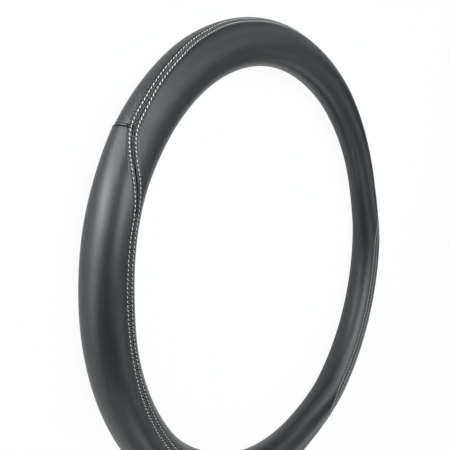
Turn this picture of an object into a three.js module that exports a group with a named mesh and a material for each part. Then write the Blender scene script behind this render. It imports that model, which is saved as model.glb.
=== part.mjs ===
import * as THREE from "three";

// A leather cover for a steering wheel: a C-shaped wall of leather, foam and rubber, which closes
// round the wheel's rim. It lies on its back. The axis of the ring is +Z, the front that the
// driver sees is up, twelve o'clock is at +Y, and the back rests on the plane z = 0.
// Sizes are millimetres. A clock angle is in degrees from twelve o'clock, positive to the left.
// A section angle is in degrees round the rim: 0 points away from the axis and 90 to the front.

// Ring and rim section: a flat oval at the top and bottom, fuller to the front at the grips
const RING_RADIUS = 173;
const RIM_RADIAL_HALF = 17.1;
const RIM_FRONT_HALF = 12.8;
const GRIP_RADIAL_HALF = 15;
const GRIP_FRONT_HALF = 17;
const BACK_HALF = 12.8;
const REST_FLAT_DEPTH = 0.25;

// Mouth of the C, between the two lips
const INNER_LIP_ANGLE = 214;
const OUTER_LIP_ANGLE = -104;
const LIP_HEM = 4.5;
const LINER_BEND = 4;

// Cross seams, and the stretch over which the long seam moves to the inner front of the grips
const UPPER_SEAM = 67;
const LOWER_SEAM = 153;
const SHIFT_LEAD = 4.5;
const SHIFT_SPAN = 22;
const RIM_SEAM_ANGLE = 36;
const GRIP_SEAM_ANGLE = 108;

// Layers of the wall
const LEATHER = 1.1;
const LINER = 1.6;
const TAPE = 0.8;
const CLEARANCE = 0.3;
const GRIP_PUFF = 0.5;

// Long seam: two folded edges that meet over the tape
const SEAM_GAP = 1.8;
const FOLD_ROUND = 0.6;
const FOLD_WIDTH = 5.5;
const CLOSING_THREAD_CROWN = 0.3;

// Topstitching: a row of thread along each folded edge
const ROW_INSET = 1;
const THREAD_WIDTH = 0.7;
const THREAD_HEIGHT = 0.45;

// Welt in each cross seam
const WELT_WIDTH = 1.4;
const WELT_RISE = 0.3;

// Depths below the outer surface, from one layer to the next
const FOAM_TOP = LEATHER + CLEARANCE;
const FOLD_DEPTH = 2 * LEATHER;
const TAPE_TOP = FOLD_DEPTH + CLEARANCE;
const LINER_TOP = TAPE_TOP + TAPE + CLEARANCE;
const LIP_LINER_TOP = LEATHER + CLEARANCE;
const LIP_HEM_TOP = LIP_LINER_TOP + LINER + CLEARANCE;
const LIP_DEPTH = LIP_HEM_TOP + LEATHER;

const REST_HEIGHT = BACK_HALF - REST_FLAT_DEPTH;
const { degToRad, radToDeg, lerp, smoothstep } = THREE.MathUtils;

// The two sides of the long seam. Turn is the sense in which the section angle runs to the lip.
const INNER_SIDE = { turn: 1, lip: INNER_LIP_ANGLE, fieldSteps: 5 };
const OUTER_SIDE = { turn: -1, lip: OUTER_LIP_ANGLE, fieldSteps: 6 };

const leather = (name) => new THREE.MeshStandardMaterial({ name, color: 0x3b3e3d, roughness: 0.5 });
const foam = new THREE.MeshStandardMaterial({ name: "foam", color: 0x55585a, roughness: 0.95 });
const rubber = new THREE.MeshStandardMaterial({ name: "rubber", color: 0x1d1e1f, roughness: 0.75 });
const webbing = new THREE.MeshStandardMaterial({ name: "webbing", color: 0x26282a, roughness: 0.9 });
const whiteThread = new THREE.MeshStandardMaterial({ name: "white", color: 0xdde3de, roughness: 0.7 });
const blackThread = new THREE.MeshStandardMaterial({ name: "black", color: 0x141516, roughness: 0.6 });

// How much of the grip's shape the rim has at a clock angle: 0 at the top and bottom, 1 at a grip
function gripShare(clock) {
  const fromTop = Math.abs(clock) > 180 ? 360 - Math.abs(clock) : Math.abs(clock);
  const upperStart = UPPER_SEAM - SHIFT_LEAD;
  const lowerEnd = LOWER_SEAM + SHIFT_LEAD;
  const rise = smoothstep(fromTop, upperStart, upperStart + SHIFT_SPAN);
  return rise - smoothstep(fromTop, lowerEnd - SHIFT_SPAN, lowerEnd);
}

function halfAxes(clock, section) {
  const share = gripShare(clock);
  const front = lerp(RIM_FRONT_HALF, GRIP_FRONT_HALF, share);
  return [lerp(RIM_RADIAL_HALF, GRIP_RADIAL_HALF, share), Math.sin(section) > 0 ? front : BACK_HALF];
}

const seamSection = (clock) => degToRad(lerp(RIM_SEAM_ANGLE, GRIP_SEAM_ANGLE, gripShare(clock)));

// Length of rim surface for one radian of section angle
function reach(clock, section) {
  const [radial, axial] = halfAxes(clock, section);
  return Math.hypot(radial * Math.sin(section), axial * Math.cos(section));
}

// A point of the section, as [distance from the ring's middle line, height]. It lies at a depth
// below the outer surface and a length further along it. The back is flat where it rests.
function sectionPoint(clock, section, depth, further = 0) {
  const [radial, axial] = halfAxes(clock, section);
  const normal = new THREE.Vector2(Math.cos(section) / radial, Math.sin(section) / axial).normalize();
  const out = radial * Math.cos(section) - normal.x * depth - normal.y * further;
  const up = axial * Math.sin(section) - normal.y * depth + normal.x * further;
  return [out, Math.max(up, Math.max(depth, 0) - REST_HEIGHT)];
}

function ringPoint(clock, [out, up]) {
  const angle = degToRad(90 + clock);
  const radius = RING_RADIUS + out;
  return new THREE.Vector3(radius * Math.cos(angle), radius * Math.sin(angle), up + REST_HEIGHT);
}

// Section angles that every layer shares on one side, from the folded edge to the lip
function stations(clock, side) {
  const seam = seamSection(clock);
  const lip = degToRad(side.lip);
  const step = (from, length) => from + (side.turn * length) / reach(clock, from);
  const edge = step(seam, SEAM_GAP / 2 + FOLD_ROUND);
  const band = step(seam, SEAM_GAP / 2 + FOLD_WIDTH);
  const lipStart = step(lip, -LIP_DEPTH / 2);
  const hemEnd = step(lip, -LIP_DEPTH / 2 - LIP_HEM);
  const foamEnd = step(lip, -LIP_DEPTH / 2 - LIP_HEM - LINER_BEND);
  const field = [];
  for (let i = 1; i < side.fieldSteps; i += 1) {
    field.push(lerp(band, foamEnd, i / side.fieldSteps));
  }
  return { seam, edge, band, field, foamEnd, hemEnd, lipStart };
}

// Points of a half circle round a lip, from the outer face to the inner one
function lipRound(clock, side, at, radius, middle, steps) {
  const points = [];
  for (let i = 0; i <= steps; i += 1) {
    const turn = (Math.PI * i) / steps;
    const further = side.turn * radius * Math.sin(turn);
    points.push(sectionPoint(clock, at, middle - radius * Math.cos(turn), further));
  }
  return points;
}

// Leather: folded under itself along the seam, and turned round the liner's lip as a hem
function leatherProfile(clock, side, puff = 0) {
  const at = stations(clock, side);
  const middle = LIP_DEPTH / 2;
  const point = (section, depth, further = 0) => sectionPoint(clock, section, depth, further);
  const puffed = [at.band, ...at.field, at.foamEnd].map((section) => point(section, -puff));
  const back = [...at.field].reverse();
  return [
    point(at.edge, 0),
    ...puffed,
    point(at.hemEnd, 0),
    ...lipRound(clock, side, at.lipStart, middle, middle, 4),
    point(at.hemEnd, LIP_DEPTH),
    point(at.hemEnd, LIP_HEM_TOP),
    ...lipRound(clock, side, at.lipStart, middle - LEATHER, middle, 3).reverse(),
    ...[at.hemEnd, at.foamEnd, ...back, at.band].map((section) => point(section, LEATHER)),
    point(at.band, FOLD_DEPTH),
    point(at.edge, FOLD_DEPTH),
    point(at.edge, LEATHER, -side.turn * FOLD_ROUND),
  ];
}

// Foam: fills the wall between leather and liner, from the folded band to the liner's bend
function foamProfile(clock, side) {
  const at = stations(clock, side);
  const gap = side.turn * CLEARANCE;
  const face = (depth) => [
    sectionPoint(clock, at.band, depth, gap),
    ...[...at.field, at.foamEnd].map((section) => sectionPoint(clock, section, depth)),
  ];
  return [...face(FOAM_TOP), ...face(LINER_TOP - CLEARANCE).reverse()];
}

// Rubber liner: one C from lip to lip, which bends out to the leather near its lips
function linerSide(clock, side, below) {
  const at = stations(clock, side);
  const deep = [at.edge, at.band, ...at.field, at.foamEnd];
  return [
    ...deep.map((section) => sectionPoint(clock, section, LINER_TOP + below)),
    ...[at.hemEnd, at.lipStart].map((section) => sectionPoint(clock, section, LIP_LINER_TOP + below)),
  ];
}

function linerProfile(clock) {
  const tip = (side) =>
    sectionPoint(clock, stations(clock, side).lipStart, LIP_DEPTH / 2, (side.turn * LINER) / 2);
  return [
    ...linerSide(clock, OUTER_SIDE, 0).reverse(),
    ...linerSide(clock, INNER_SIDE, 0),
    tip(INNER_SIDE),
    ...linerSide(clock, INNER_SIDE, LINER).reverse(),
    ...linerSide(clock, OUTER_SIDE, LINER),
    tip(OUTER_SIDE),
  ];
}

// Tape: joins the two folded edges from below, over their whole width
function tapeProfile(clock) {
  const outer = stations(clock, OUTER_SIDE);
  const inner = stations(clock, INNER_SIDE);
  const across = [outer.band, outer.edge, inner.edge, inner.band];
  const face = (depth) => across.map((section) => sectionPoint(clock, section, depth));
  return [...face(TAPE_TOP), ...face(TAPE_TOP + TAPE).reverse()];
}

// Closing thread: fills the groove between the folded edges, over the tape
function closingThreadProfile(clock) {
  const seam = seamSection(clock);
  const half = SEAM_GAP / 2 - CLEARANCE;
  const point = (depth, further) => sectionPoint(clock, seam, depth, further);
  return [
    point(2 * CLOSING_THREAD_CROWN, -half),
    point(CLOSING_THREAD_CROWN, 0),
    point(2 * CLOSING_THREAD_CROWN, half),
    point(TAPE_TOP - CLEARANCE, half),
    point(TAPE_TOP - CLEARANCE, -half),
  ];
}

// Topstitch: the thread that lies on the leather along one folded edge
function topstitchProfile(clock, side) {
  const at = stations(clock, side);
  const edge = new THREE.Vector2(...sectionPoint(clock, at.edge, 0));
  const across = new THREE.Vector2(...sectionPoint(clock, at.band, 0)).sub(edge).normalize();
  const out = new THREE.Vector2(across.y, -across.x).multiplyScalar(side.turn);
  const point = (sideways, above) =>
    edge
      .clone()
      .addScaledVector(across, ROW_INSET - FOLD_ROUND + sideways)
      .addScaledVector(out, CLEARANCE + above)
      .toArray();
  return [point(-THREAD_WIDTH / 2, 0), point(0, THREAD_HEIGHT), point(THREAD_WIDTH / 2, 0)];
}

// Welt: the narrow folded strip that stands a little proud between two outer panels, from the
// topstitch to the lip
function weltProfile(clock) {
  const at = stations(clock, OUTER_SIDE);
  const start = OUTER_SIDE.turn * (ROW_INSET - FOLD_ROUND + THREAD_WIDTH / 2 + CLEARANCE);
  const face = (depth) => [
    sectionPoint(clock, at.edge, depth, start),
    ...[at.band, ...at.field, at.foamEnd].map((section) => sectionPoint(clock, section, depth)),
  ];
  const end = [0, LEATHER].map((depth) => sectionPoint(clock, at.hemEnd, depth));
  return [...face(-WELT_RISE), ...end, ...face(LEATHER).reverse()];
}

// Closed skin through one profile at each clock angle. A ring joins its last profile to its first,
// and any other length is closed by a flat face at each end. Each four-sided facet is split along
// its shorter diagonal, so that the facets of neighbouring layers stay parallel.
function loft(clocks, profile, isRing = false) {
  const turned = (points) => (signedArea(points) > 0 ? points : [...points].reverse());
  const sections = clocks.map((clock) => turned(profile(clock)));
  const count = sections[0].length;
  const vertices = sections.flatMap((points, i) => points.map((point) => ringPoint(clocks[i], point)));
  const index = [];
  const bays = isRing ? clocks.length : clocks.length - 1;
  for (let i = 0; i < bays; i += 1) {
    for (let k = 0; k < count; k += 1) {
      const l = (k + 1) % count;
      const [a, b] = [i * count + k, i * count + l];
      const [c, d] = [k, l].map((step) => ((i + 1) % clocks.length) * count + step);
      const isForward = vertices[a].distanceTo(vertices[d]) < vertices[c].distanceTo(vertices[b]);
      index.push(...(isForward ? [a, c, d, a, d, b] : [a, c, b, c, d, b]));
    }
  }
  if (!isRing) {
    addEnd(index, sections[0], 0, false);
    addEnd(index, sections.at(-1), (clocks.length - 1) * count, true);
  }
  const geometry = new THREE.BufferGeometry().setFromPoints(vertices);
  geometry.setIndex(index);
  geometry.computeVertexNormals();
  return geometry;
}

const signedArea = (points) => THREE.ShapeUtils.area(points.map(([x, y]) => new THREE.Vector2(x, y)));

function addEnd(index, points, offset, isFar) {
  const contour = points.map(([x, y]) => new THREE.Vector2(x, y));
  for (const [a, b, c] of THREE.ShapeUtils.triangulateShape(contour, [])) {
    index.push(offset + a, offset + (isFar ? c : b), offset + (isFar ? b : c));
  }
}

// Clock angles of the profiles, closer where the seam moves over
const degreesOf = (length) => radToDeg(length / (RING_RADIUS + RIM_RADIAL_HALF));
const PANEL_END = degreesOf(WELT_WIDTH / 2 + CLEARANCE);
const WELT_HALF = degreesOf(WELT_WIDTH / 2);
const SPANS = [
  [0, 7],
  [UPPER_SEAM - SHIFT_LEAD, 1],
  [UPPER_SEAM - PANEL_END, 1],
  [UPPER_SEAM + PANEL_END, 4],
  [UPPER_SEAM - SHIFT_LEAD + SHIFT_SPAN, 5],
  [LOWER_SEAM + SHIFT_LEAD - SHIFT_SPAN, 4],
  [LOWER_SEAM - PANEL_END, 1],
  [LOWER_SEAM + PANEL_END, 1],
  [LOWER_SEAM + SHIFT_LEAD, 3],
];

function leftHalf() {
  const clocks = [];
  SPANS.forEach(([start, steps], i) => {
    const end = i + 1 < SPANS.length ? SPANS[i + 1][0] : 180;
    for (let k = 0; k < steps; k += 1) clocks.push(lerp(start, end, k / steps));
  });
  return [...clocks, 180];
}

const LEFT = leftHalf();
const mirrored = (clocks) => clocks.map((clock) => -clock).reverse();
const between = (start, end) => LEFT.filter((clock) => clock >= start && clock <= end);
const RING = [...mirrored(LEFT.slice(1, -1)), ...LEFT];
const TOP = [...mirrored(between(1, UPPER_SEAM - PANEL_END)), ...between(0, UPPER_SEAM - PANEL_END)];
const LEFT_GRIP = between(UPPER_SEAM + PANEL_END, LOWER_SEAM - PANEL_END);
const RIGHT_GRIP = mirrored(LEFT_GRIP);
const LOWER = between(LOWER_SEAM + PANEL_END, 180);
const BOTTOM = [...LOWER, ...LOWER.slice(0, -1).map((clock) => 360 - clock).reverse()];

const puffAt = (clock) => GRIP_PUFF * (1 - gripShare(clock));
const gripLeather = (clock) => leatherProfile(clock, OUTER_SIDE, puffAt(clock));
const outerLeather = (clock) => leatherProfile(clock, OUTER_SIDE);
const innerLeather = (clock) => leatherProfile(clock, INNER_SIDE);
const outerFoam = (clock) => foamProfile(clock, OUTER_SIDE);
const innerFoam = (clock) => foamProfile(clock, INNER_SIDE);
const outerTopstitch = (clock) => topstitchProfile(clock, OUTER_SIDE);
const innerTopstitch = (clock) => topstitchProfile(clock, INNER_SIDE);

const cover = new THREE.Group();

function add(name, geometry, material) {
  const mesh = new THREE.Mesh(geometry, material);
  mesh.name = name;
  cover.add(mesh);
}

add("inner_panel", loft(RING, innerLeather, true), leather("inner leather"));
add("top_panel", loft(TOP, outerLeather), leather("outer leather"));
add("bottom_panel", loft(BOTTOM, outerLeather), leather("outer leather"));
add("left_grip_panel", loft(LEFT_GRIP, gripLeather), leather("grip leather"));
add("right_grip_panel", loft(RIGHT_GRIP, gripLeather), leather("grip leather"));

add("inner_foam", loft(RING, innerFoam, true), foam);
add("top_foam", loft(TOP, outerFoam), foam);
add("bottom_foam", loft(BOTTOM, outerFoam), foam);
add("left_grip_foam", loft(LEFT_GRIP, outerFoam), foam);
add("right_grip_foam", loft(RIGHT_GRIP, outerFoam), foam);

add("rubber_liner", loft(RING, linerProfile, true), rubber);
add("seam_tape", loft(RING, tapeProfile, true), webbing);
add("closing_thread", loft(RING, closingThreadProfile, true), blackThread);
add("inner_topstitch", loft(RING, innerTopstitch, true), whiteThread);
add("outer_topstitch", loft(RING, outerTopstitch, true), whiteThread);

const WELTS = {
  upper_left_welt: UPPER_SEAM,
  upper_right_welt: -UPPER_SEAM,
  lower_left_welt: LOWER_SEAM,
  lower_right_welt: -LOWER_SEAM,
};
for (const [name, seam] of Object.entries(WELTS)) {
  add(name, loft([seam - WELT_HALF, seam + WELT_HALF], weltProfile), leather("welt leather"));
}

export default cover;
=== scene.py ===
from math import pi, radians

import bpy
import numpy as np
from bpy.props import FloatProperty, FloatVectorProperty, IntProperty, PointerProperty
from mathutils import Matrix, Vector


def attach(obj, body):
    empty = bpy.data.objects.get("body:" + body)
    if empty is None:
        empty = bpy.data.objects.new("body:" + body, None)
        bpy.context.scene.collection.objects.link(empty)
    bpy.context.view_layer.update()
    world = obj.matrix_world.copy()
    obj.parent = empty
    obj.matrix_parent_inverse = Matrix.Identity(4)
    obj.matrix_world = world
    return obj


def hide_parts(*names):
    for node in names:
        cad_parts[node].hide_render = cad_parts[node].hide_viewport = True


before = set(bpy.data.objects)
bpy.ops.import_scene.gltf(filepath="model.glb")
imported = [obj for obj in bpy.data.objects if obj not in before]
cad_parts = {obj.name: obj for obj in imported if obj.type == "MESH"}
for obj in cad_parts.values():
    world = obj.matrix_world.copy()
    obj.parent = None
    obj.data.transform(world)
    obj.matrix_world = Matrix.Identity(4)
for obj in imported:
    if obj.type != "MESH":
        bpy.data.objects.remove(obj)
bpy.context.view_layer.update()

bl_info = {
    "name": "Steering Wheel Cover",
    "version": (1, 0, 0),
    "blender": (4, 5, 0),
    "location": "View3D > Sidebar > Wheel Cover",
    "description": "Dresses a steering wheel cover: leather, padding, liner, seams and stitching",
    "category": "Object",
}


def length(name, description, default):
    """A length property, in metres."""
    return FloatProperty(
        name=name, description=description, default=default, min=0.0, unit="LENGTH", precision=5
    )


def angle(name, description, degrees):
    """An angle property, given in degrees."""
    return FloatProperty(
        name=name, description=description, default=radians(degrees), subtype="ANGLE"
    )


def colour(name, description, default):
    """A colour property."""
    return FloatVectorProperty(
        name=name, description=description, default=default, subtype="COLOR", size=3, min=0, max=1
    )


class RimSizes(bpy.types.PropertyGroup):
    """Shape of the rim that the cover takes"""

    ring_radius: length("Ring radius", "From the axis to the middle of the rim", 0.173)
    rim_half_width: length("Rim half width", "Across the rim at the top and bottom", 0.0171)
    rim_half_front: length("Rim front", "Height of the front at the top and bottom", 0.0128)
    grip_half_width: length("Grip half width", "Across the rim at the grips", 0.015)
    grip_half_front: length("Grip front", "Height of the front at the grips", 0.017)
    half_back: length("Back", "Depth of the back of the rim", 0.0128)
    rest_height: length("Rest height", "Middle of the rim above the floor", 0.01255)
    upper_seam: angle("Upper cross seams", "Clock angle of the seams above the grips", 67)
    lower_seam: angle("Lower cross seams", "Clock angle of the seams below the grips", 153)
    shift_lead: angle("Shift lead", "The long seam moves this far before a cross seam", 4.5)
    shift_span: angle("Shift span", "Clock angle over which the long seam moves", 22)
    rim_seam: angle("Long seam on the rim", "Section angle at the top and bottom", 36)
    grip_seam: angle("Long seam on the grips", "Section angle at the grips", 108)
    seam_wander: angle("Seam wander", "How far the long seam strays from its line", 5)
    uneven: length("Unevenness", "How far the padding strays from an even rim", 0.0007)


class WallSizes(bpy.types.PropertyGroup):
    """Layers of the cover's wall, its seam and its lips"""

    leather: length("Leather", "Thickness of the leather", 0.001)
    fold_depth: length("Fold depth", "Depth of a folded edge", 0.0022)
    fold_round: length("Fold round", "Length over which a folded edge rounds off", 0.0006)
    band: length("Folded band", "Seam's middle to where the folded leather ends", 0.0064)
    foam_top: length("Foam depth", "From the leather's face to the foam", 0.0014)
    foam: length("Foam", "Thickness of the foam", 0.0019)
    tape_top: length("Tape depth", "From the leather's face to the tape", 0.0025)
    tape: length("Tape", "Thickness of the tape", 0.0008)
    liner_top: length("Liner depth", "From the leather's face to the liner", 0.0036)
    liner: length("Liner", "Thickness of the rubber liner", 0.0016)
    lip_depth: length("Lip depth", "Thickness of the whole wall at a lip", 0.0044)
    lip_hem: length("Lip hem", "Length of leather that is turned in at a lip", 0.0045)
    liner_bend: length("Liner bend", "Length over which the liner comes up to the leather", 0.004)
    inner_lip: angle("Inner lip", "Section angle of the lip towards the axis", 214)
    outer_lip: angle("Outer lip", "Section angle of the lip away from the axis", -104)
    puff: length("Grip fullness", "How far a grip's panel stands out at a cross seam", 0.0005)
    welt_half: length("Welt half width", "Half the width of the strip in a cross seam", 0.0007)
    welt_rise: length("Welt rise", "How far the strip stands above the leather", 0.00055)
    clearance: length("Clearance", "Gap between neighbouring pieces", 0.0003)


class StitchSizes(bpy.types.PropertyGroup):
    """Topstitching and closing stitches"""

    pitch: length("Stitch pitch", "From one needle hole to the next", 0.00303)
    grip_pitch: length("Stitch pitch on the grips", "Where the sewing is finer", 0.00252)
    stitch: length("Stitch length", "Length of thread that shows", 0.00255)
    thread: length("Thread", "Width of the white thread", 0.0005)
    slant: angle("Slant", "Turn of a stitch out of its row", 12)
    furrow: length("Furrow", "How deep a row presses into the leather", 0.0003)
    closing_pitch: length("Closing pitch", "From one closing stitch to the next", 0.0014)
    closing_stitch: length("Closing stitch", "Length of a closing stitch", 0.0021)
    closing_thread: length("Closing thread", "Width of the black thread", 0.0007)
    closing_slant: angle("Closing slant", "Turn of a closing stitch out of the seam", 58)
    columns: IntProperty(name="Columns", description="Faces round the ring", default=600, min=60)


class CoverColours(bpy.types.PropertyGroup):
    """Colours of the cover's materials"""

    leather: colour("Leather", "Black leather", (0.0100, 0.0124, 0.0130))
    white_thread: colour("White thread", "Topstitching", (0.76, 0.79, 0.76))
    black_thread: colour("Black thread", "Closing stitches", (0.085, 0.092, 0.09))
    foam: colour("Foam", "Padding", (0.09, 0.095, 0.1))
    rubber: colour("Rubber", "Liner", (0.016, 0.016, 0.017))
    webbing: colour("Webbing", "Tape under the seam", (0.02, 0.021, 0.023))
    floor: colour("Floor", "Studio floor", (0.86, 0.86, 0.86))


def settings():
    """The scene's sizes: of the rim, of the cover's wall and of the stitches."""
    scene = bpy.context.scene
    return scene.cover_rim, scene.cover_wall, scene.cover_stitches


# The rim, as arrays
def smoothstep(value, start, end):
    """Runs smoothly from 0 at start to 1 at end."""
    share = np.clip((value - start) / (end - start), 0, 1)
    return share * share * (3 - 2 * share)


def mix(first, second, share):
    """A value between two others, at a share of the way."""
    return first + (second - first) * share


def bell(distance, reach):
    """1 at the middle, and falling off smoothly with the distance from it."""
    return np.exp(-((distance / reach) ** 2))


def from_top(clock):
    """Angle from twelve o'clock, to either side."""
    return np.abs((clock + pi) % (2 * pi) - pi)


def grip_share(clock):
    """How much of the grip's shape the rim has: 0 at the top and bottom, 1 at a grip."""
    rim, _, _ = settings()
    start, end = rim.upper_seam - rim.shift_lead, rim.lower_seam + rim.shift_lead
    away = from_top(clock)
    below_start = smoothstep(away, start, start + rim.shift_span)
    return below_start - smoothstep(away, end - rim.shift_span, end)


def half_axes(clock, section):
    """Half the width of the rim's oval section, and its half height on the front or the back."""
    rim, _, _ = settings()
    share = grip_share(clock)
    front = mix(rim.rim_half_front, rim.grip_half_front, share)
    across = mix(rim.rim_half_width, rim.grip_half_width, share)
    return across, np.where(np.sin(section) > 0, front, rim.half_back)


# Where the long seam wanders: angle from twelve o'clock and reach in degrees, and a share
WANDERS = ((33, 9, -1.0), (61, 6, 0.55))


def seam_section(clock):
    """Section angle of the long seam, which wanders a little, as hand sewing does."""
    rim, _, _ = settings()
    away = from_top(clock)
    section = mix(rim.rim_seam, rim.grip_seam, grip_share(clock))
    for at, reach, share in WANDERS:
        section = section + share * rim.seam_wander * bell(away - radians(at), radians(reach))
    return beside(clock, section, sewn("shift", clock))


# How the sewing strays, by clock angle in degrees and in millimetres: the seam's shift towards the
# inner lip, the reach of the topstitching to either side of it, and half the gap between the folds
SEWING = {
    "shift": (
        (-180, 0), (20, -0.5), (30, -0.7), (37, -0.35), (43, -0.7), (50, 0.15), (58, 0.45),
        (63.5, 1.2), (66.8, 0.1), (68.5, -0.15), (72, 0), (75.3, 0.5), (78, 0.4), (81, -0.4),
        (84, -1.2), (88, -0.65), (92, -0.1), (104, 0.15), (110, 0.25), (120, -0.3), (135, 0),
        (180, 0),
    ),
    "rows": (
        (-180, 1.6), (-158, 1.6), (-150, 1.95), (-82, 2.0), (-75, 2.3), (-66, 1.95), (-58, 1.55),
        (0, 1.65), (30, 1.75), (37, 1.65), (43, 1.5), (59, 1.5), (63, 1.85), (68, 1.95), (72, 1.95),
        (75.3, 2.5), (78, 2.2), (81, 2.0), (88, 2.2), (96, 2.1), (102, 1.95), (120, 2.0),
        (150, 1.95), (158, 1.6), (180, 1.6),
    ),
    "gap": (
        (-180, 0.7), (-146, 0.7), (-144, 0.28), (-138, 0.28), (-135, 0.7), (-83, 0.7), (-80, 0.2),
        (-74, 0.25), (-72, 0.7), (72, 0.7), (73.5, 0.25), (76, 0.25), (77.5, 0.12), (79.5, 0.12),
        (82.5, 0.7), (136, 0.7), (139, 0.28), (144, 0.28), (146, 0.7), (180, 0.7),
    ),
}

# A table is drawn smoothly by taking its mean over these steps, in degrees
SMOOTHING = (-1.2, -0.6, 0, 0.6, 1.2)


def sewn(kind, clock):
    """A value of the sewing in metres, drawn smoothly through its table."""
    at, value = zip(*SEWING[kind])
    here = np.degrees((clock + pi) % (2 * pi) - pi)
    total = sum(np.interp(here + step, at, value) for step in SMOOTHING)
    return total / len(SMOOTHING) / 1000


# Where hand-fitted padding is fuller than an even rim, or thinner: clock and section angle of the
# middle, reach along the clock and the section, all in degrees, and a share of the unevenness
BULGES = (
    (83, -30, 8, 40, 0.9),
    (99, 137, 9, 30, 1.2),
    (79, 142, 8, 25, -0.8),
    (30, 175, 25, 30, 0.6),
    (-28, 48, 16, 22, 0.9),
    (70.5, 27, 4.5, 24, -0.7),
    (43, -12, 8, 25, 0.55),
    *((seam, 25, 2.4, 38, 0.5) for seam in (67, -67, 153, -153)),
)


def fullness(clock, section):
    """How far the padding stands out past an even rim."""
    rim, _, _ = settings()
    total = 0.0
    for at_clock, at_section, along, across, share in BULGES:
        from_clock = (clock - radians(at_clock) + pi) % (2 * pi) - pi
        from_section = (section - radians(at_section) + pi) % (2 * pi) - pi
        spread = (from_clock / radians(along)) ** 2 + (from_section / radians(across)) ** 2
        total = total + share * np.exp(-spread)
    return total * rim.uneven


def beside(clock, section, distance):
    """Section angle a distance along the rim's surface from another section angle."""
    across, height = half_axes(clock, section)
    return section + distance / np.hypot(across * np.sin(section), height * np.cos(section))


def on_rim(clock, section, depth=0.0, further=0.0):
    """Points at a depth below the leather's face and a length further along it. The back is flat
    where it rests."""
    rim, _, _ = settings()
    across, height = half_axes(clock, section)
    normal = np.stack([np.cos(section) / across, np.sin(section) / height])
    normal = normal / np.linalg.norm(normal, axis=0)
    under = depth - fullness(clock, section)
    out = across * np.cos(section) - normal[0] * under - normal[1] * further
    up = height * np.sin(section) - normal[1] * under + normal[0] * further
    up = np.maximum(up, np.maximum(depth, 0) - rim.rest_height) + rim.rest_height
    radius = rim.ring_radius + out
    places = np.broadcast_arrays(-radius * np.sin(clock), radius * np.cos(clock), up)
    return np.stack(places, axis=-1)


def row_point(clock, offset, depth=0.0):
    """Points beside the long seam: a positive offset is on the side of the inner lip."""
    return on_rim(clock, beside(clock, seam_section(clock), offset), depth)


def row_lengths(clocks, side):
    """Length along a row of topstitching, or along the seam's middle where side is 0, from the
    first clock angle to each of the others."""
    points = row_point(clocks, side * sewn("rows", clocks))
    steps = np.linalg.norm(np.diff(points, axis=0), axis=1)
    return np.concatenate([[0.0], np.cumsum(steps)])


def ring_clocks(columns):
    """Clock angles once round the ring, from six o'clock."""
    return np.linspace(-pi, pi, columns + 1)


def topstitch_pitch(clocks):
    """Length of the topstitching's steps, which are finer on the grips."""
    rim, _, stitches = settings()
    away = from_top(clocks)
    before, after = radians(11), radians(3)
    grip = smoothstep(away, rim.upper_seam - before, rim.upper_seam + after)
    grip = grip - smoothstep(away, rim.lower_seam - after, rim.lower_seam + before)
    return mix(stitches.pitch, stitches.grip_pitch, grip)


def closing_pitch(clocks):
    """Length of the closing stitches' steps, which are even."""
    _, _, stitches = settings()
    return np.full_like(clocks, stitches.closing_pitch)


# Columns round the ring for counting stitches
FINE_COLUMNS = 7200


def count_stitches(side, pitch):
    """Clock angles round the ring, and the number of stitches from six o'clock to each of them."""
    clocks = ring_clocks(FINE_COLUMNS)
    steps = np.diff(row_lengths(clocks, side)) / pitch((clocks[1:] + clocks[:-1]) / 2)
    numbers = np.concatenate([[0.0], np.cumsum(steps)])
    return clocks, numbers * round(numbers[-1]) / numbers[-1]


def stitch_numbers(clocks, side):
    """Number of topstitches from six o'clock to each clock angle."""
    fine, numbers = count_stitches(side, topstitch_pitch)
    turns = np.floor((clocks + pi) / (2 * pi))
    return np.interp(clocks - 2 * pi * turns, fine, numbers) + turns * numbers[-1]


# Making meshes: how close a ring's ends have to be to join, and the angle up to which edges are
# shaded round
JOINING_DISTANCE = 1e-6
ROUND_ANGLE = radians(50)


def clear_selection():
    """Leaves edit mode and deselects everything."""
    if bpy.context.mode != "OBJECT":
        bpy.ops.object.mode_set(mode="OBJECT")
    bpy.ops.object.select_all(action="DESELECT")


def wrap(mesh, points, along_u, across_v):
    """Moves the vertices of a flat grid to their places round the rim, and sets its UV map."""
    rows, columns = points.shape[:2]
    flat = np.empty(len(mesh.vertices) * 3, np.float32)
    mesh.vertices.foreach_get("co", flat)
    flat = flat.reshape(-1, 3)
    column = np.rint((flat[:, 0] + 0.5) * (columns - 1)).astype(int)
    row = np.rint((flat[:, 1] + 0.5) * (rows - 1)).astype(int)
    mesh.vertices.foreach_set("co", points[row, column].astype(np.float32).ravel())
    corners = np.empty(len(mesh.loops), np.int32)
    mesh.loops.foreach_get("vertex_index", corners)
    place = row[corners], column[corners]
    map_values = [np.broadcast_to(part, (rows, columns))[place] for part in (along_u, across_v)]
    vectors = np.stack(map_values, axis=1).astype(np.float32).ravel()
    mesh.uv_layers.active.uv.foreach_set("vector", vectors)
    mesh.update()


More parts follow.
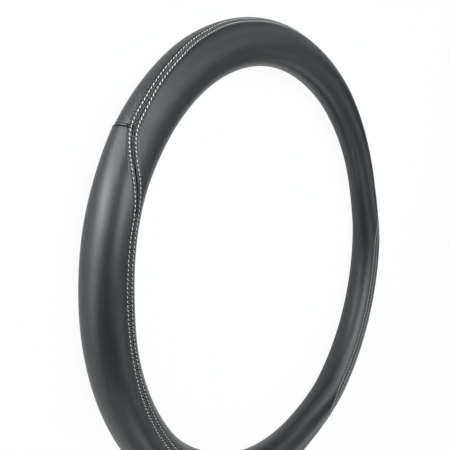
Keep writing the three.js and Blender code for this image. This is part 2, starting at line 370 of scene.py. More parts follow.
def wrapped_sheet(name, points, along_u, across_v, thickness, is_ring=False):
    """A sheet that is cut flat as a grid and wrapped round the rim. points has a row of the grid
    for each step across the sheet, and a column for each clock angle. along_u and across_v are the
    UV map's values there."""
    rows, columns = points.shape[:2]
    clear_selection()
    bpy.ops.mesh.primitive_grid_add(x_subdivisions=columns - 1, y_subdivisions=rows - 1, size=1)
    piece = bpy.context.object
    piece.name = name
    wrap(piece.data, points, along_u, across_v)
    bpy.ops.object.mode_set(mode="EDIT")
    bpy.ops.mesh.select_all(action="SELECT")
    if not faces_outward(points):
        bpy.ops.mesh.flip_normals()
    if is_ring:
        bpy.ops.mesh.remove_doubles(threshold=JOINING_DISTANCE)
    bpy.ops.object.mode_set(mode="OBJECT")
    wall = piece.modifiers.new("Thickness", "SOLIDIFY")
    wall.thickness = thickness
    wall.offset = -1
    bpy.ops.object.modifier_apply(modifier=wall.name)
    bpy.ops.object.shade_smooth_by_angle(angle=ROUND_ANGLE)
    return piece


def faces_outward(points):
    """Whether the grid's middle faces away from the middle of the rim once it is wrapped."""
    rim, _, _ = settings()
    row, column = points.shape[0] // 2, points.shape[1] // 2
    here = points[row, column]
    normal = np.cross(points[row, column + 1] - here, points[row + 1, column] - here)
    flat = here[:2] / np.linalg.norm(here[:2]) * rim.ring_radius
    return np.dot(normal, here - np.array([*flat, rim.rest_height])) > 0


def finish_piece(piece, material, nodes=()):
    """Gives a piece its material, and says what it rides on and which solids it replaces."""
    piece.data.materials.clear()
    piece.data.materials.append(material)
    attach(piece, "root")
    if nodes:
        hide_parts(*nodes)


# Where the inner lip leaves its line: clock angle, reach and turn, in degrees
LIP_STRAYS = ((-68, 16, 10), (-20, 9, -4.5))


class Side:
    """One side of the long seam, up to its lip. Its turn is the sense in which section angles run
    to the lip, and its strays are the places where the lip leaves its line."""

    def __init__(self, turn, lip, strays=()):
        self.turn, self.lip, self.strays = turn, lip, strays

    def near_seam(self, clock, distance):
        """Section angle at a distance from the long seam."""
        return beside(clock, seam_section(clock), self.turn * distance)

    def near_lip(self, clock, distance):
        """Section angle at a distance from the lip."""
        lip = self.lip
        for at, reach, turn in self.strays:
            lip = lip + radians(turn) * bell(clock - radians(at), radians(reach))
        return beside(clock, lip, -self.turn * distance)


def sides():
    """The sides of the long seam: the inner panel's, and the outer panels'."""
    _, wall, _ = settings()
    return Side(1, wall.inner_lip, LIP_STRAYS), Side(-1, wall.outer_lip)


# Rows of a leather panel: its hem, by the distance from the seam's middle; the round of its folded
# edge or lip; the sewn band, by the distance from the topstitching; and the field up to the lip
HEM_STEPS = (0.0045, 0.003, 0.0022)
ROUND_STEPS = 8
SEWN_STEPS = (0, 0.0002, 0.0004, 0.0007, 0.0011, 0.0016, 0.0022, 0.0029, 0.0036)
FIELD_START = 0.0044
FIELD_STEPS = 24

# Beside the topstitching: reach of its furrow, height, place and reach of the pillow next to it,
# and the distances between which the panel's fullness sets in
FURROW_REACH = 0.00045
PILLOW_HEIGHT, PILLOW_PLACE, PILLOW_REACH = 0.00012, 0.0016, 0.0012
FULLNESS_START, FULLNESS_END = 0.0001, 0.0026

# For the UV map: how far a hem's rows are set back, the length of a folded edge, the radius of the
# rim's section, and the map's units in a metre
HEM_LENGTH, FOLD_LENGTH, SECTION_RADIUS = 0.003, 0.0025, 0.0155
UV_UNITS = 100


def leather_rows(clock, side, fuller):
    """Rows of a leather panel, from the hem under its folded edge to the hem inside its lip, and
    each point's distance from the topstitching. fuller is how far the panel's field stands out."""
    _, wall, stitches = settings()
    radius = wall.fold_depth / 2
    edge = sewn("gap", clock) + wall.fold_round
    sewing = sewn("rows", clock)
    rows, across = [], []

    def add(points, from_stitching):
        rows.append(points)
        across.append(np.broadcast_to(from_stitching, clock.shape))

    def furrow(from_stitching):
        return stitches.furrow * bell(from_stitching, FURROW_REACH)

    def top(section, from_stitching, share):
        pillow = PILLOW_HEIGHT * bell(from_stitching - PILLOW_PLACE, PILLOW_REACH)
        depth = furrow(from_stitching) - pillow - fuller * share
        add(on_rim(clock, section, depth), from_stitching)

    for distance in (wall.band, *HEM_STEPS):
        section = side.near_seam(clock, distance)
        add(on_rim(clock, section, wall.fold_depth), -distance - HEM_LENGTH)
    for step in range(ROUND_STEPS + 1):
        turn = pi * (step / ROUND_STEPS - 0.5)
        distance = edge - wall.fold_round * np.cos(turn)
        depth = radius - radius * np.sin(turn) + furrow(distance - sewing) * max(np.sin(turn), 0)
        unrolled = edge - sewing - (1 - step / ROUND_STEPS) * FOLD_LENGTH
        add(on_rim(clock, side.near_seam(clock, distance), depth), unrolled)
    for share in (0.5, 0.8):
        distance = mix(edge, sewing, share)
        top(side.near_seam(clock, distance), distance - sewing, 0.0)
    for step in SEWN_STEPS:
        share = smoothstep(step, FULLNESS_START, FULLNESS_END)
        top(side.near_seam(clock, sewing + step), step, share)

    middle = wall.lip_depth / 2
    hem_end = middle + wall.lip_hem
    field_start = side.near_seam(clock, sewing + FIELD_START)
    foam_end = side.near_lip(clock, hem_end + wall.liner_bend)
    width = np.mean(np.abs(foam_end - field_start)) * SECTION_RADIUS
    for step in range(FIELD_STEPS + 1):
        share = step / FIELD_STEPS
        top(mix(field_start, foam_end, share), FIELD_START + width * share, 1.0)
    reached = FIELD_START + width
    for share in (1 / 3, 2 / 3, 1):
        section = side.near_lip(clock, hem_end + wall.liner_bend * (1 - share))
        top(section, reached + wall.liner_bend * share, 1 - smoothstep(share, 0, 1))
    reached += wall.liner_bend
    section = side.near_lip(clock, middle + wall.lip_hem / 2)
    top(section, reached + wall.lip_hem / 2, 0.0)
    reached += wall.lip_hem
    tip = side.near_lip(clock, middle)
    for step in range(ROUND_STEPS + 1):
        turn = pi * step / ROUND_STEPS
        further = side.turn * middle * np.sin(turn)
        depth = middle - middle * np.cos(turn)
        add(on_rim(clock, tip, depth, further), reached + middle * turn)
    reached += middle * pi
    for share in (0.5, 1.0):
        section = side.near_lip(clock, middle + wall.lip_hem * share)
        add(on_rim(clock, section, wall.lip_depth), reached + wall.lip_hem * share)
    return np.array(rows), np.array(across)


# The upper cross seams lean where they meet the long seam: by an angle about the axis, with its
# reach along the clock and its reach in metres across the panel
LEAN, LEAN_ALONG, LEAN_ACROSS = radians(0.27), radians(2.5), 0.011


def leant(points, clocks, from_seam):
    """Points turned a little about the axis, as the upper cross seams lean."""
    rim, _, _ = settings()
    near = bell(from_top(clocks) - rim.upper_seam, LEAN_ALONG)
    turn = -np.sign(np.sin(clocks)) * near * (LEAN * bell(from_seam, LEAN_ACROSS))
    x, y, z = np.moveaxis(points, -1, 0)
    turned = x * np.cos(turn) - y * np.sin(turn), x * np.sin(turn) + y * np.cos(turn), z
    return np.stack(turned, axis=-1)


# Distances of a panel's columns from its end: the close ones and the first even one. An end rounds
# off over END_RADIUS.
END_COLUMNS = (0.0, 0.0001, 0.0003, 0.0006, 0.001, 0.0016, 0.0024)
EVEN_COLUMN = 0.0035
END_RADIUS = 0.0006


def outer_radius():
    """From the axis to the outside of the rim."""
    rim, _, _ = settings()
    return rim.ring_radius + rim.rim_half_width


def panel_spans():
    """Clock angles where each outer panel starts and ends, beside the strips in the cross seams."""
    rim, wall, _ = settings()
    gap = (wall.welt_half + wall.clearance) / outer_radius()
    upper, lower = rim.upper_seam, rim.lower_seam
    return {
        "top": (-upper + gap, upper - gap),
        "bottom": (lower + gap, 2 * pi - lower - gap),
        "left_grip": (upper + gap, lower - gap),
        "right_grip": (-lower + gap, -upper - gap),
    }


def panel_clocks(start, end):
    """Clock angles of a panel's columns, closer where it turns down into a cross seam."""
    _, _, stitches = settings()
    ends = np.array(END_COLUMNS) / outer_radius()
    even = EVEN_COLUMN / outer_radius()
    steps = round((end - start) / (2 * pi) * stitches.columns)
    middle = np.linspace(start + even, end - even, steps)
    return np.concatenate([start + ends, middle, (end - ends)[::-1]])


def turned_down(clocks):
    """How deep each column lies under the face, where the panel's ends round off."""
    to_end = np.minimum(clocks - clocks[0], clocks[-1] - clocks) * outer_radius()
    inside = np.clip(END_RADIUS - to_end, 0, END_RADIUS)
    return END_RADIUS - np.sqrt(END_RADIUS**2 - inside**2)


def leather_panel(place, clocks, points, across, side):
    """A panel from its rows. Its UV map has the topstitches' numbers and the distance from them."""
    _, wall, _ = settings()
    numbers = stitch_numbers(clocks, side)
    is_ring = place == "inner"
    name = f"{place}_leather"
    piece = wrapped_sheet(name, points, numbers, across * UV_UNITS, wall.leather, is_ring)
    finish_piece(piece, leather_material(), [f"{place}_panel"])


class COVER_OT_leather(bpy.types.Operator):
    """Wraps the leather panels: one round the inside, and four outside between the cross seams"""

    bl_idname = "cover.leather"
    bl_label = "Leather Panels"

    def execute(self, context):
        _, wall, stitches = settings()
        inner, outer = sides()
        clocks = ring_clocks(stitches.columns)
        points, across = leather_rows(clocks, inner, 0.0)
        leather_panel("inner", clocks, points, across, 1)
        for place, (start, end) in panel_spans().items():
            clocks = panel_clocks(start, end)
            puff = wall.puff if place.endswith("grip") else 0.0
            fuller = puff * (1 - grip_share(clocks)) - turned_down(clocks)
            points, across = leather_rows(clocks, outer, fuller)
            leather_panel(place, clocks, leant(points, clocks, across), across, -1)
        return {"FINISHED"}


# Rows of a foam pad, and its width on its UV map
FOAM_ROWS, FOAM_WIDTH = 17, 0.03


class COVER_OT_padding(bpy.types.Operator):
    """Puts the foam pads between the leather and the liner"""

    bl_idname = "cover.padding"
    bl_label = "Foam Padding"

    def execute(self, context):
        _, wall, stitches = settings()
        material = foam_material()
        inner, outer = sides()
        shares = np.linspace(0, 1, FOAM_ROWS)
        for place, (start, end) in {"inner": (-pi, pi), **panel_spans()}.items():
            is_ring = place == "inner"
            side = inner if is_ring else outer
            steps = round((end - start) / (2 * pi) * stitches.columns / 2)
            clocks = np.linspace(start, end, steps + 1)
            first = side.near_seam(clocks, wall.band + wall.clearance)
            last = side.near_lip(clocks, wall.lip_depth / 2 + wall.lip_hem + wall.liner_bend)
            rows = [on_rim(clocks, mix(first, last, share), wall.foam_top) for share in shares]
            width = shares[:, None] * FOAM_WIDTH
            name = f"{place}_padding"
            piece = wrapped_sheet(name, np.array(rows), clocks, width, wall.foam, is_ring)
            finish_piece(piece, material, [f"{place}_foam"])
        return {"FINISHED"}


# Rows of half the liner up to its bend, a row's width on its UV map, and rows of the tape
LINER_ROWS, LINER_ROW_WIDTH = 15, 0.25
TAPE_ROWS = 9


class COVER_OT_liner(bpy.types.Operator):
    """Makes the rubber liner, and the tape that joins the folded edges from below"""

    bl_idname = "cover.liner"
    bl_label = "Liner and Tape"

    def execute(self, context):
        _, wall, stitches = settings()
        clocks = ring_clocks(stitches.columns // 2)
        middle = wall.lip_depth / 2
        bend = middle + wall.lip_hem + wall.liner_bend

        def half(side):
            rows = []
            seam = side.near_seam(clocks, 0.0)
            foam_end = side.near_lip(clocks, bend)
            for share in np.linspace(0, 1, LINER_ROWS)[1:]:
                rows.append(on_rim(clocks, mix(seam, foam_end, share), wall.liner_top))
            for share in (0.25, 0.5, 0.75, 1.0):
                depth = mix(wall.liner_top, wall.foam_top, smoothstep(share, 0, 1))
                section = side.near_lip(clocks, bend - wall.liner_bend * share)
                rows.append(on_rim(clocks, section, depth))
            for distance in (middle + wall.lip_hem / 2, middle):
                rows.append(on_rim(clocks, side.near_lip(clocks, distance), wall.foam_top))
            return rows

        inner_half, outer_half = (half(side) for side in sides())
        seam = on_rim(clocks, seam_section(clocks), wall.liner_top)
        points = np.array([*outer_half[::-1], seam, *inner_half])
        along = row_lengths(clocks, 0) * UV_UNITS
        across = np.arange(len(points))[:, None] * LINER_ROW_WIDTH
        piece = wrapped_sheet("anti_slip_liner", points, along, across, wall.liner, True)
        finish_piece(piece, rubber_material(), ["rubber_liner"])

        offsets = np.linspace(-wall.band, wall.band, TAPE_ROWS)
        points = np.array([row_point(clocks, offset, wall.tape_top) for offset in offsets])
        across = offsets[:, None] * UV_UNITS
        piece = wrapped_sheet("joining_tape", points, along, across, wall.tape, True)
        finish_piece(piece, webbing_material(), ["seam_tape"])
        return {"FINISHED"}


# A strip in a cross seam: where it starts beside the long seam, how far from the lip's middle it
# ends, how deep its ends sink, its leather's thickness, its length, the shares of its length over
# which it comes up and goes down again, and how far its leather goes round below its middle
STRIP_START, STRIP_END = 0.0025, 0.0006
STRIP_SINK, STRIP_LEATHER, STRIP_LENGTH = 0.0004, 0.0004, 0.04
STRIP_UP, STRIP_DOWN = (-0.01, 0.06), (0.94, 1.0)
STRIP_COLUMNS, STRIP_ROWS, STRIP_ROUND = 45, 13, 0.25 * pi

# What the UV map's number along a strip or a fold comes to at its end
SMALL_PIECE_UV = 10


def strip_rows(seam, side):
    """Rows of the folded strip in a cross seam, across its rounded top, and their turns."""
    _, wall, _ = settings()
    first = side.near_seam(seam, STRIP_START)
    last = side.near_lip(seam, wall.lip_depth / 2 + STRIP_END)
    shares = np.linspace(0, 1, STRIP_COLUMNS)
    ends = np.minimum(smoothstep(shares, *STRIP_UP), 1 - smoothstep(shares, *STRIP_DOWN))
    depth = STRIP_SINK - (wall.welt_rise + STRIP_SINK) * ends
    turns = np.linspace(-STRIP_ROUND, pi + STRIP_ROUND, STRIP_ROWS)
    rows = []
    for turn in turns:
        clocks = seam - np.cos(turn) * wall.welt_half / outer_radius()
        below = depth + wall.welt_half * (1 - np.sin(turn))
        rows.append(on_rim(clocks, mix(first, last, shares), below))
    points = leant(np.array(rows), np.full(shares.shape, seam), shares * STRIP_LENGTH)
    return points, shares * SMALL_PIECE_UV, turns[:, None]


# The fold beside a cross seam: degrees past the seam where it starts and ends; half its width, and
# how much narrower its end is; its height, and the depth of its foot; how deep its ends sink, and
# over which shares of its length; its place across the long seam, and how far it drifts from there;
# how far it goes round below its middle; its leather's thickness, and the power that flattens it
FOLD_START, FOLD_END = -0.3, 6.4
FOLD_HALF, FOLD_NARROWING = 0.00048, 0.0002
FOLD_HEIGHT, FOLD_FOOT = 0.0012, 0.0010
FOLD_SINK_START, FOLD_SINK_END = 0.0003, 0.0010
FOLD_UP, FOLD_DOWN = (0.0, 0.08), (0.75, 1.0)
FOLD_OFFSET, FOLD_DRIFT = 0.00022, 0.0003
FOLD_COLUMNS, FOLD_ROWS, FOLD_ROUND = 40, 15, 0.1 * pi
FOLD_LEATHER, FOLD_FLATNESS = 0.00025, 0.6


def fold_rows(seam, down):
    """Rows of the small fold in the long seam beside a cross seam. It is flat on top."""
    clocks = seam + down * np.linspace(radians(FOLD_START), radians(FOLD_END), FOLD_COLUMNS)
    along = np.linspace(0, 1, FOLD_COLUMNS)
    ending = smoothstep(along, *FOLD_DOWN)
    half = FOLD_HALF - FOLD_NARROWING * ending
    sink = FOLD_SINK_END * ending + FOLD_SINK_START * (1 - smoothstep(along, *FOLD_UP))
    middle = FOLD_OFFSET - FOLD_DRIFT * along
    rows = []
    for turn in np.linspace(-FOLD_ROUND, pi + FOLD_ROUND, FOLD_ROWS):
        parts = np.cos(turn), np.sin(turn)
        aside, rise = (np.sign(part) * abs(part) ** FOLD_FLATNESS for part in parts)
        depth = FOLD_FOOT + sink - FOLD_HEIGHT * rise
        rows.append(row_point(clocks, middle - half * aside, depth))
    return np.array(rows), along * SMALL_PIECE_UV, np.arange(len(rows))[:, None]


class COVER_OT_welts(bpy.types.Operator):
    """Makes the folded strips in the cross seams, and the folds beside them in the long seam"""

    bl_idname = "cover.welts"
    bl_label = "Cross Seams"

    def execute(self, context):
        rim, _, _ = settings()
        _, outer = sides()
        material = leather_material()
        seams = {
            "upper_left": (rim.upper_seam, 1),
            "upper_right": (-rim.upper_seam, -1),
            "lower_left": (rim.lower_seam, -1),
            "lower_right": (-rim.lower_seam, 1),
        }
        for place, (seam, down) in seams.items():
            piece = wrapped_sheet(f"{place}_strip", *strip_rows(seam, outer), STRIP_LEATHER)
            finish_piece(piece, material, [f"{place}_welt"])
            piece = wrapped_sheet(f"{place}_fold", *fold_rows(seam, down), FOLD_LEATHER)
            finish_piece(piece, material)
        return {"FINISHED"}


# Topstitches: how far their middles lie above the bottom of their furrow, how far their ends dive,
# and how much they shine as fabric does
TOPSTITCH_LIFT, TOPSTITCH_DIVE, TOPSTITCH_SHEEN = 0.00026, 0.00014, 0.45

# Closing stitches: how deep their middles lie, how far their ends dive, and their sheen; how much
# deeper they lie on a grip beside a cross seam, and how many degrees past it they begin to come up
# and have come up
CLOSING_DEPTH, CLOSING_DIVE, CLOSING_SHEEN = 0.00045, 0.00012, 0.4
SUNK_DEEPER, RISE_START, RISE_END = 0.0016, 13, 15

# The sphere that a stitch is made from, and the shares of half its length from which it dives
THREAD_SIDES, THREAD_RINGS = 8, 6
DIVES_FROM = (0.6, 0.95)


def thread_template(size, width, dive):
    """One stitch along the x axis, modelled from a sphere: drawn out, and its ends pulled down."""
    clear_selection()
    bpy.ops.mesh.primitive_uv_sphere_add(segments=THREAD_SIDES, ring_count=THREAD_RINGS, radius=1)
    stitch = bpy.context.object
    bpy.ops.object.mode_set(mode="EDIT")
    bpy.ops.mesh.select_all(action="SELECT")
    bpy.ops.transform.rotate(value=pi / 2, orient_axis="Y", center_override=(0, 0, 0))
    bpy.ops.transform.resize(value=(size / 2, width / 2, width / 2), center_override=(0, 0, 0))
    for reach in DIVES_FROM:
        bpy.ops.mesh.select_all(action="DESELECT")
        bpy.ops.object.mode_set(mode="OBJECT")
        for vertex in stitch.data.vertices:
            vertex.select = abs(vertex.co.x) > reach * size / 2
        bpy.ops.object.mode_set(mode="EDIT")
        bpy.ops.transform.translate(value=(0, 0, -dive))
    bpy.ops.object.mode_set(mode="OBJECT")
    bpy.ops.object.shade_smooth()
    return stitch


# A small step to either side of a place, in radians, and above it, in metres
SMALL_STEP = 1e-4


def unit(vectors):
    """Vectors of length 1 in the same directions."""
    return vectors / np.linalg.norm(vectors, axis=1)[:, None]


def places_along(side, depth, pitch, slant):
    """Matrices that set stitches along a row, each as large as its pitch asks."""
    fine, numbers = count_stitches(side, pitch)
    clocks = np.interp(np.arange(round(numbers[-1])) + 0.5, numbers, fine)
    stretch = pitch(clocks) / np.max(pitch(fine))

    def place(clock, deeper=0.0):
        return row_point(clock, side * sewn("rows", clock), depth(clocks) + deeper)

    here = place(clocks)
    along = unit(place(clocks + SMALL_STEP) - place(clocks - SMALL_STEP))
    up = place(clocks, -SMALL_STEP) - here
    up = unit(up - along * np.sum(up * along, axis=1)[:, None])
    across = np.cross(up, along)
    return [
        Matrix.Translation(Vector(here[i]))
        @ Matrix((along[i], across[i], up[i])).transposed().to_4x4()
        @ Matrix.Rotation(slant, 4, "Z")
        @ Matrix.Diagonal((stretch[i], stretch[i], stretch[i], 1))
        for i in range(len(clocks))
    ]


def stitch_row(name, template, matrices):
    """Copies of one stitch, joined as one piece."""
    clear_selection()
    for matrix in matrices:
        stitch = template.copy()
        stitch.data = template.data.copy()
        stitch.data.transform(matrix)
        bpy.context.collection.objects.link(stitch)
        stitch.select_set(True)
    bpy.context.view_layer.objects.active = stitch
    bpy.ops.object.join()
    row = bpy.context.object
    row.name = name
    bpy.data.objects.remove(template)
    return row


class COVER_OT_topstitching(bpy.types.Operator):
    """Sews the two rows of white topstitching beside the long seam"""

    bl_idname = "cover.topstitching"
    bl_label = "Topstitching"

    def execute(self, context):
        _, _, stitches = settings()
        tone = context.scene.cover_colours.white_thread
        material = thread_material("white thread", tone, TOPSTITCH_SHEEN)

        def lying(clocks):
            return np.full_like(clocks, stitches.furrow - TOPSTITCH_LIFT)

        for place, side in (("inner", 1), ("outer", -1)):
            template = thread_template(stitches.stitch, stitches.thread, TOPSTITCH_DIVE)
            matrices = places_along(side, lying, topstitch_pitch, stitches.slant)
            row = stitch_row(f"{place}_stitch_row", template, matrices)
            finish_piece(row, material, [f"{place}_topstitch"])
        return {"FINISHED"}


class COVER_OT_closing(bpy.types.Operator):
    """Laces the long seam shut with small black stitches"""

    bl_idname = "cover.closing"
    bl_label = "Closing Stitches"

    def execute(self, context):
        rim, _, stitches = settings()
        tone = context.scene.cover_colours.black_thread
        material = thread_material("black thread", tone, CLOSING_SHEEN)
        size, width = stitches.closing_stitch, stitches.closing_thread
        template = thread_template(size, width, CLOSING_DIVE)

        def sunk(clocks):
            away = from_top(clocks)
            past = np.minimum(away - rim.upper_seam, rim.lower_seam - away)
            low = 1 - smoothstep(past, radians(RISE_START), radians(RISE_END))
            return CLOSING_DEPTH + SUNK_DEEPER * (past > 0) * low

        matrices = places_along(0, sunk, closing_pitch, stitches.closing_slant)
        row = stitch_row("closing_stitches", template, matrices)
        finish_piece(row, material, ["closing_thread"])
        return {"FINISHED"}


# Materials
class Wire:
    """A number on a node's socket. Arithmetic with it adds Math nodes."""

    def __init__(self, shader, socket):
        self.shader, self.socket = shader, socket

    def math(self, operation, *others):
        """The number taken through a Math node, with the others after it."""
        inputs = dict(enumerate((self, *others)))
        return self.shader.node("ShaderNodeMath", {"operation": operation}, inputs)[0]

    def __add__(self, other):
        return self.math("ADD", other)

    __radd__ = __add__

    def __sub__(self, other):
        return self.math("SUBTRACT", other)

    def __mul__(self, other):
        return self.math("MULTIPLY", other)

    def __pow__(self, other):
        return self.math("POWER", other)

    def ramp(self, start, end, low=0.0, high=1.0):
        """Smoothly from low at start to high at end."""
        smooth = {"interpolation_type": "SMOOTHSTEP"}
        ends = {"From Min": start, "From Max": end, "To Min": low, "To Max": high}
        return self.shader.node("ShaderNodeMapRange", smooth, {"Value": self, **ends})[0]


class Outputs:
    """A node's outputs, by name or number."""

    def __init__(self, shader, node):
        self.shader, self.node = shader, node

    def __getitem__(self, key):
        return Wire(self.shader, self.node.outputs[key])


class Shader:
    """A material's node tree."""

    def __init__(self, owner):
        owner.use_nodes = True
        self.tree = owner.node_tree
        self.tree.nodes.clear()

    def node(self, kind, choices=None, inputs=None):
        """A node with its choices, and with values or wires on its inputs."""
        made = self.tree.nodes.new(kind)
        for key, value in (choices or {}).items():
            setattr(made, key, value)
        for key, value in (inputs or {}).items():
            if isinstance(value, Wire):
                self.tree.links.new(value.socket, made.inputs[key])
            else:
                made.inputs[key].default_value = value
        return Outputs(self, made)

    def place(self):
        """Object coordinates, as a vector."""
        return self.node("ShaderNodeTexCoord")["Object"]

    def noise(self, place, scale, detail=2.0, roughness=0.5):
        """Cloudy noise between 0 and 1."""
        inputs = {"Vector": place, "Scale": scale, "Detail": detail, "Roughness": roughness}
        return self.node("ShaderNodeTexNoise", None, inputs)[0]

    def creases(self, place, scale):
        """0 in the creases between cells, and more inside them."""
        inputs = {"Vector": place, "Scale": scale}
        return self.node("ShaderNodeTexVoronoi", {"feature": "DISTANCE_TO_EDGE"}, inputs)[0]

    def uv(self):
        """Both numbers of the UV map."""
        split = self.node("ShaderNodeSeparateXYZ", None, {0: self.node("ShaderNodeUVMap")[0]})
        return split[0], split[1]

    def tint(self, share, tone, darkest, lightest):
        """A tone from its darkest to its lightest, through the Mix node's colour sockets."""
        dark, light = ((*(level * part for part in tone), 1) for level in (darkest, lightest))
        return self.node("ShaderNodeMix", {"data_type": "RGBA"}, {0: share, 6: dark, 7: light})[2]

    def bump(self, height, distance):
        """Normals for a height. A height of 1 stands for a distance in metres."""
        return self.node("ShaderNodeBump", None, {"Height": height, "Distance": distance})[0]

    def mixed(self, output, share, first, second):
        """Mixes the second surface into the first by a share, and takes them to the output node."""
        mixed = self.node("ShaderNodeMixShader", None, {0: share, 1: first[0], 2: second[0]})
        self.node(output, None, {"Surface": mixed[0]})

    def surface(self, inputs):
        """The material's surface."""
        shader = self.node("ShaderNodeBsdfPrincipled", None, inputs)
        self.node("ShaderNodeOutputMaterial", None, {"Surface": shader[0]})


def waves(number, length):
    """The sine of a number that repeats over a length."""
    return (number * (2 * pi / length)).math("SINE")


def leather_material():
    """Smooth black leather: fine grain, slow changes of tone, and needle holes beside the seam. Its
    colour has painted shade in the grain's creases and in the needle holes.
    """
    found = bpy.data.materials.get("black leather")
    if found:
        return found
    stitches = bpy.context.scene.cover_stitches
    tone = bpy.context.scene.cover_colours.leather
    material = bpy.data.materials.new("black leather")
    shader = Shader(material)
    place = shader.place()
    stitch, across = shader.uv()
    along = ((stitch + 0.5).math("FRACT") - 0.5) * (stitches.pitch * UV_UNITS)
    hole = ((along * along + across * across) ** 0.5).ramp(0.018, 0.055, 1.0, 0.0)
    near = across.math("ABSOLUTE").ramp(0.0, 0.28, 1.0, 0.0)
    pull = (stitch * (2 * pi)).math("COSINE") * near

    broad = shader.noise(place, 14.0, 2.0)
    mottled = shader.noise(place, 260.0, 3.0, 0.6)
    cells = shader.creases(place, 1250.0).ramp(0.0, 0.3)
    fine = shader.noise(place, 2600.0, 2.0, 0.6)
    height = cells * 0.3 + mottled * 0.35 + fine * 0.2 - hole * 7.0 - pull * 1.3
    # Colour: random changes of tone from the noises, with painted shade darkening the grain's
    # creases and, most of all, the needle holes
    tone_and_painted_shade = broad * 0.5 + mottled * 0.3 + cells * 0.2 - hole * 0.9
    shader.surface(
        {
            "Base Color": shader.tint(tone_and_painted_shade, tone, 0.62, 1.35),
            "Roughness": 0.365 + mottled * 0.04 + broad * 0.04 - cells * 0.02,
            "Specular IOR Level": 0.66,
            "Normal": shader.bump(height, 0.00006),
        }
    )
    return material


def thread_material(name, tone, sheen):
    """Twisted thread, with plies that wind round it."""
    material = bpy.data.materials.new(name)
    shader = Shader(material)
    place = shader.place()
    around, along = shader.uv()
    plies = (around * (2 * 2 * pi) + along * (5 * 2 * pi)).math("SINE")
    fuzz = shader.noise(place, 5000.0, 2.0)
    share = plies * 0.25 + fuzz * 0.5 + 0.25
    shader.surface(
        {
            "Base Color": shader.tint(share, tone, 0.78, 1.12),
            "Roughness": 0.55 + fuzz * 0.2,
            "Sheen Weight": sheen,
            "Sheen Roughness": 0.5,
            "Normal": shader.bump(plies * 0.6 + fuzz * 0.4, 0.00006),
        }
    )
    return material


def foam_material():
    """Open foam: small pores, with painted shade darkening them in its colour."""
    tone = bpy.context.scene.cover_colours.foam
    material = bpy.data.materials.new("foam")
    shader = Shader(material)
    place = shader.place()
    pores = shader.creases(place, 1500.0).ramp(0.0, 0.3)
    cloud = shader.noise(place, 90.0)
    # Colour: painted shade darkens the pores, and cloudy noise adds real changes of tone
    tone_and_painted_shade = pores * 0.7 + cloud * 0.3
    shader.surface(
        {
            "Base Color": shader.tint(tone_and_painted_shade, tone, 0.6, 1.2),
            "Roughness": 0.9 + cloud * 0.1,
            "Normal": shader.bump(pores, 0.0001),
        }
    )
    return material


def rubber_material():
    """Moulded rubber with small anti-slip bars."""
    tone = bpy.context.scene.cover_colours.rubber
    material = bpy.data.materials.new("liner rubber")
    shader = Shader(material)
    place = shader.place()
    along, across = shader.uv()
    bars = waves(along, 0.4).ramp(-0.3, 0.3)
    breaks = waves(across, 1.0).ramp(-0.9, -0.6)
    dust = shader.noise(place, 120.0, 3.0)
    shader.surface(
        {
            "Base Color": shader.tint(dust, tone, 0.8, 1.5),
            "Roughness": 0.6 + dust * 0.15,
            "Normal": shader.bump(bars * breaks + dust * 0.1, 0.0004),
        }
    )
    return material


def webbing_material():
    """Woven tape."""
    tone = bpy.context.scene.cover_colours.webbing
    material = bpy.data.materials.new("webbing")
    shader = Shader(material)
    along, across = shader.uv()
    weave = waves(along, 0.09) * waves(across, 0.07) * 0.5 + 0.5
    shader.surface(
        {
            "Base Color": shader.tint(weave, tone, 0.6, 1.3),
            "Roughness": 0.8 + weave * 0.1,
            "Normal": shader.bump(weave, 0.0001),
        }
    )
    return material


# Stage: the floor's side in metres, and how much of its white the camera sees
FLOOR_SIZE = 8.0
FLOOR_GLOW = 0.95


def floor_material():
    """Pale floor that is white to the camera but for the cover's faint shadow."""
    material = bpy.data.materials.new("studio floor")
    shader = Shader(material)
    tone = bpy.context.scene.cover_colours.floor
    paper = shader.node("ShaderNodeBsdfDiffuse", None, {"Color": (*tone, 1)})
    glow = shader.node("ShaderNodeEmission", None, {"Color": (1, 1, 1, 1), "Strength": 1.0})
    path = shader.node("ShaderNodeLightPath")
    seen = path["Is Camera Ray"] + path["Is Glossy Ray"] + path["Is Transmission Ray"]
    shader.mixed("ShaderNodeOutputMaterial", seen * FLOOR_GLOW, paper, glow)
    return material


def area_lamp(name, size, power, location, rotation):
    """A rectangular lamp that the camera does not see."""
    data = bpy.data.lights.new(name, "AREA")
    data.shape = "RECTANGLE"
    data.size, data.size_y = size
    data.energy = power
    data.color = LAMP_COLOUR
    lamp = bpy.data.objects.new(name, data)
    bpy.context.collection.objects.link(lamp)
    lamp.location = location
    lamp.rotation_euler = rotation
    lamp.visible_camera = False


def softbox(name, azimuth, elevation, height, power):
    """A lamp that looks at the cover from a direction, given in degrees."""
    across, up = np.cos(radians(elevation)), np.sin(radians(elevation))
    away = Vector((across * np.cos(radians(azimuth)), across * np.sin(radians(azimuth)), up))
    rotation = (-away).to_track_quat("-Z", "Y").to_euler()
    location = Vector(LAMP_TARGET) + away * LAMP_DISTANCE
    area_lamp(name, (LAMP_WIDTH, height), power, location, rotation)


# All lamps have one colour. The softboxes have one width, and one distance from their target.
LAMP_COLOUR = (0.95, 1.0, 0.985)
LAMP_WIDTH, LAMP_DISTANCE, LAMP_TARGET = 0.44, 1.0, (0, 0, 0.012)

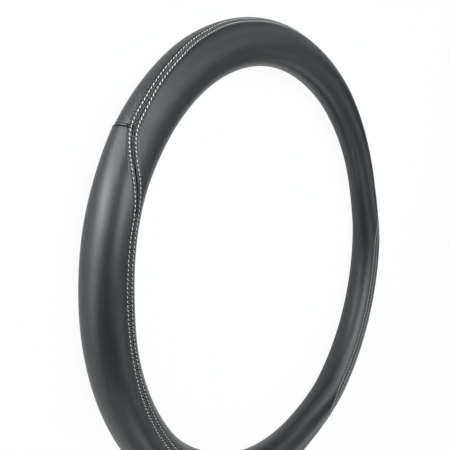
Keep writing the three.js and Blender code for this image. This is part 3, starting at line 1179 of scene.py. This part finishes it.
# Softboxes: azimuth from +X and elevation in degrees, height in metres and power in watts
LAMPS = {
    "overhead left": (144, 66, 0.3, 4.25),
    "overhead right": (72, 66, 0.3, 2.4),
    "overhead near": (288, 66, 0.3, 1.0),
    "upper front": (108, 47, 0.26, 1.6),
    "upper right": (36, 47, 0.26, 0.85),
    "front fill": (72, 30, 0.24, 0.55),
    "right fill": (0, 30, 0.24, 0.55),
    "lower right fill": (312, 30, 0.24, 0.95),
    "lower fill": (264, 30, 0.24, 1.2),
    "left softbox": (144, 16, 0.24, 2.6),
    "low left strip": (168, 3, 0.24, 3.9),
    "low near fill": (240, 16, 0.24, 0.55),
    "low right fill": (336, 16, 0.24, 0.7),
    "low front fill": (48, 16, 0.24, 0.3),
}

# Lit cards that lie beside the cover and shine up: place, side and power
LIT_CARDS = {
    "upper lit card": ((-0.345, 0.155, 0.0015), 0.22, 1.4),
    "lower lit card": ((-0.385, -0.02, 0.0015), 0.22, 0.9),
}

# The photograph's camera: place, and the directions of the picture's right and top
CAMERA_PLACE = (-0.34409, 0.02281, 0.23735)
CAMERA_RIGHT = Vector((0.63208185, 0.09810983, 0.76866572))
CAMERA_UP = Vector((-0.065469, 0.99516729, -0.07318385))
CAMERA_LENS, CAMERA_SHIFT = 39.08, (-0.00093, 0.0018)


class COVER_OT_stage(bpy.types.Operator):
    """Sets the floor, the soft lamps and the camera"""

    bl_idname = "cover.stage"
    bl_label = "Studio"

    def execute(self, context):
        scene = context.scene
        scene.view_settings.view_transform = "Standard"
        clear_selection()
        bpy.ops.mesh.primitive_plane_add(size=FLOOR_SIZE, location=(0, 0, 0))
        floor = context.object
        floor.name = "floor"
        floor.data.materials.append(floor_material())

        world = bpy.data.worlds.new("studio")
        scene.world = world
        shader = Shader(world)
        path = shader.node("ShaderNodeLightPath")
        dark = shader.node("ShaderNodeBackground", None, {"Strength": 0.0})
        white = shader.node("ShaderNodeBackground", None, {"Color": (1, 1, 1, 1), "Strength": 1.0})
        shader.mixed("ShaderNodeOutputWorld", path["Is Camera Ray"], dark, white)

        for name, values in LAMPS.items():
            softbox(name, *values)
        for name, (place, side, power) in LIT_CARDS.items():
            area_lamp(name, (side, side), power, place, (pi, 0, 0))

        data = bpy.data.cameras.new("camera")
        data.lens = CAMERA_LENS
        data.shift_x, data.shift_y = CAMERA_SHIFT
        camera = bpy.data.objects.new("camera", data)
        scene.collection.objects.link(camera)
        axes = CAMERA_RIGHT, CAMERA_UP, CAMERA_RIGHT.cross(CAMERA_UP)
        rotation = Matrix(axes).transposed().to_4x4()
        camera.matrix_world = Matrix.Translation(CAMERA_PLACE) @ rotation
        scene.camera = camera
        return {"FINISHED"}


class COVER_PT_sidebar(bpy.types.Panel):
    """Lists the steps of the wheel cover"""

    bl_idname = "COVER_PT_sidebar"
    bl_label = "Wheel Cover"
    bl_space_type = "VIEW_3D"
    bl_region_type = "UI"
    bl_category = "Wheel Cover"

    def draw(self, context):
        for step in STEPS:
            self.layout.operator(step.bl_idname)
        for group in (getattr(context.scene, name) for name in GROUPS):
            for name in group.__annotations__:
                self.layout.prop(group, name)


STEPS = (
    COVER_OT_leather,
    COVER_OT_padding,
    COVER_OT_liner,
    COVER_OT_welts,
    COVER_OT_topstitching,
    COVER_OT_closing,
    COVER_OT_stage,
)
GROUPS = {
    "cover_rim": RimSizes,
    "cover_wall": WallSizes,
    "cover_stitches": StitchSizes,
    "cover_colours": CoverColours,
}


def register():
    for kind in (*GROUPS.values(), *STEPS, COVER_PT_sidebar):
        bpy.utils.register_class(kind)
    for name, kind in GROUPS.items():
        setattr(bpy.types.Scene, name, PointerProperty(type=kind))


def unregister():
    for name in GROUPS:
        delattr(bpy.types.Scene, name)
    for kind in (*GROUPS.values(), *STEPS, COVER_PT_sidebar):
        bpy.utils.unregister_class(kind)


def main():
    register()
    bpy.ops.cover.leather()
    bpy.ops.cover.padding()
    bpy.ops.cover.liner()
    bpy.ops.cover.welts()
    bpy.ops.cover.topstitching()
    bpy.ops.cover.closing()
    bpy.ops.cover.stage()


if __name__ == "__main__":
    main()
